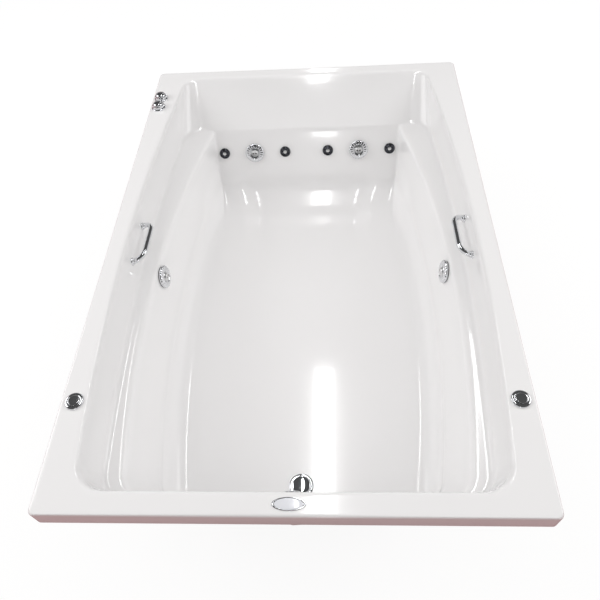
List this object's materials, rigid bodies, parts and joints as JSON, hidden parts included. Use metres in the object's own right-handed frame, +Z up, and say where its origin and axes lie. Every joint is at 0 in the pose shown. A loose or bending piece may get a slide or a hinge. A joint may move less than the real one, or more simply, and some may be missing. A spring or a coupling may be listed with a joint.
{
  "type": "jetted bathtub",
  "caption": "Drop-in jetted bathtub for two: gloss white shell with armrests, chrome grips, wall jets, deck controls, pop-up waste and pump.",
  "frame": {"origin": "on the floor, under the middle of the rim", "axes": "+Z up, +Y towards the sloping head end with the row of jets, +X to the right seen from the foot end"},
  "size_m": [1.2192, 1.8288, 0.5603],
  "materials": {
    "acrylic": "white, high gloss",
    "chrome": "polished plating",
    "dark_chrome": "smoked polished plating",
    "badge_face": "pale glossy face",
    "white_pvc": "moulded, satin",
    "grey_pvc": "moulded, satin",
    "black_plastic": "moulded, satin",
    "clear_hose": "flexible tube",
    "rubber": "matt",
    "steel": "machined",
    "motor_paint": "dark enamel",
    "timber": "sawn"
  },
  "bodies": {
    "tub": {"tub_shell": "acrylic", "name_badge": "badge_face", "grip_left": "chrome", "grip_right": "chrome", "grip_studs": "steel", "grip_nuts": "steel", "jet_housings": "chrome", "jet_tees": "white_pvc", "jet_gaskets": "rubber", "micro_housings": "chrome", "micro_nuts": "white_pvc", "micro_gaskets": "rubber", "air_valves": "chrome", "deck_nuts": "white_pvc", "button_ring_left": "chrome", "button_ring_right": "chrome", "drain_flange": "chrome", "drain_shoe": "white_pvc", "overflow_elbow": "white_pvc", "overflow_pipe": "white_pvc", "overflow_plate": "chrome", "suction_cover": "chrome", "suction_flange": "chrome", "suction_tee": "white_pvc", "water_pipe": "white_pvc", "air_pipe_back": "clear_hose", "air_pipe_side": "clear_hose", "suction_pipe": "white_pvc", "pump_volute": "black_plastic", "seal_plate": "black_plastic", "motor_casing": "motor_paint", "fan_cover": "black_plastic", "pump_bracket": "grey_pvc", "control_box": "black_plastic", "cable_gland": "black_plastic", "base_board": "timber", "runners": "timber"},
    "bezel_back_left": {"jet_bezel_back_left": "chrome"},
    "nozzle_back_left": {"jet_nozzle_back_left": "chrome"},
    "bezel_back_right": {"jet_bezel_back_right": "chrome"},
    "nozzle_back_right": {"jet_nozzle_back_right": "chrome"},
    "bezel_side_left": {"jet_bezel_side_left": "chrome"},
    "nozzle_side_left": {"jet_nozzle_side_left": "chrome"},
    "bezel_side_right": {"jet_bezel_side_right": "chrome"},
    "nozzle_side_right": {"jet_nozzle_side_right": "chrome"},
    "spinner_outer_left": {"micro_spinner_outer_left": "dark_chrome"},
    "spinner_inner_left": {"micro_spinner_inner_left": "dark_chrome"},
    "spinner_inner_right": {"micro_spinner_inner_right": "dark_chrome"},
    "spinner_outer_right": {"micro_spinner_outer_right": "dark_chrome"},
    "air_rear_knob": {"air_rear_knob": "chrome"},
    "air_front_knob": {"air_front_knob": "chrome"},
    "button_left": {"button_cap_left": "chrome"},
    "button_right": {"button_cap_right": "chrome"},
    "overflow_knob": {"overflow_knob": "chrome"},
    "stopper": {"drain_stopper": "chrome"},
    "rotor": {"impeller": "black_plastic", "motor_shaft": "steel", "motor_fan": "black_plastic"}
  },
  "joints": [
    {"name": "bezel_back_left_turn", "type": "hinge", "parent": "tub", "child": "bezel_back_left", "pos_m": [-0.2186, 0.66868, 0.30097], "axis": [0, -0.9285, 0.3714], "range_deg": [0, 90]},
    {"name": "nozzle_back_left_tilt", "type": "hinge", "parent": "bezel_back_left", "child": "nozzle_back_left", "pos_m": [-0.2186, 0.66868, 0.30097], "axis": [1, 0, 0], "range_deg": [-15, 15]},
    {"name": "bezel_back_right_turn", "type": "hinge", "parent": "tub", "child": "bezel_back_right", "pos_m": [0.2186, 0.66868, 0.30097], "axis": [0, -0.9285, 0.3714], "range_deg": [0, 90]},
    {"name": "nozzle_back_right_tilt", "type": "hinge", "parent": "bezel_back_right", "child": "nozzle_back_right", "pos_m": [0.2186, 0.66868, 0.30097], "axis": [1, 0, 0], "range_deg": [-15, 15]},
    {"name": "bezel_side_left_turn", "type": "hinge", "parent": "tub", "child": "bezel_side_left", "pos_m": [-0.47938, -0.03822, 0.33796], "axis": [0.9851, -0.0383, 0.1676], "range_deg": [0, 90]},
    {"name": "nozzle_side_left_tilt", "type": "hinge", "parent": "bezel_side_left", "child": "nozzle_side_left", "pos_m": [-0.47938, -0.03822, 0.33796], "axis": [0.0378, 0.9993, 0.0064], "range_deg": [-15, 15]},
    {"name": "bezel_side_right_turn", "type": "hinge", "parent": "tub", "child": "bezel_side_right", "pos_m": [0.47938, -0.03822, 0.33796], "axis": [-0.9851, -0.0383, 0.1676], "range_deg": [0, 90]},
    {"name": "nozzle_side_right_tilt", "type": "hinge", "parent": "bezel_side_right", "child": "nozzle_side_right", "pos_m": [0.47938, -0.03822, 0.33796], "axis": [0.0378, -0.9993, -0.0064], "range_deg": [-15, 15]},
    {"name": "spinner_outer_left_spin", "type": "hinge", "parent": "tub", "child": "spinner_outer_left", "pos_m": [-0.348, 0.6736, 0.299], "axis": [0, -0.9285, 0.3714], "continuous": true},
    {"name": "spinner_inner_left_spin", "type": "hinge", "parent": "tub", "child": "spinner_inner_left", "pos_m": [-0.09, 0.6736, 0.299], "axis": [0, -0.9285, 0.3714], "continuous": true},
    {"name": "spinner_inner_right_spin", "type": "hinge", "parent": "tub", "child": "spinner_inner_right", "pos_m": [0.09, 0.6736, 0.299], "axis": [0, -0.9285, 0.3714], "continuous": true},
    {"name": "spinner_outer_right_spin", "type": "hinge", "parent": "tub", "child": "spinner_outer_right", "pos_m": [0.348, 0.6736, 0.299], "axis": [0, -0.9285, 0.3714], "continuous": true},
    {"name": "air_rear_turn", "type": "hinge", "parent": "tub", "child": "air_rear_knob", "pos_m": [-0.574, 0.732, 0.535], "axis": [0, 0, 1], "range_deg": [0, 180]},
    {"name": "air_front_turn", "type": "hinge", "parent": "tub", "child": "air_front_knob", "pos_m": [-0.574, 0.671, 0.535], "axis": [0, 0, 1], "range_deg": [0, 180]},
    {"name": "button_left_press", "type": "slide", "parent": "tub", "child": "button_left", "axis": [0, 0, -1], "range_m": [0, 0.003], "stiffness_N_per_m": 900, "springref_m": -0.001},
    {"name": "button_right_press", "type": "slide", "parent": "tub", "child": "button_right", "axis": [0, 0, -1], "range_m": [0, 0.003], "stiffness_N_per_m": 900, "springref_m": -0.001},
    {"name": "overflow_turn", "type": "hinge", "parent": "tub", "child": "overflow_knob", "pos_m": [0, -0.8403, 0.43], "axis": [0, 0.9903, 0.1386], "range_deg": [0, 90]},
    {"name": "stopper_lift", "type": "slide", "parent": "tub", "child": "stopper", "axis": [0, 0, 1], "range_m": [0, 0.01]},
    {"name": "rotor_spin", "type": "hinge", "parent": "tub", "child": "rotor", "pos_m": [-0.19, 0.80544, 0.13], "axis": [1, 0, 0], "continuous": true}
  ],
  "couplings": [
    {"joint": "overflow_turn", "follows": "stopper_lift", "rad_per_m": 157.08}
  ]
}
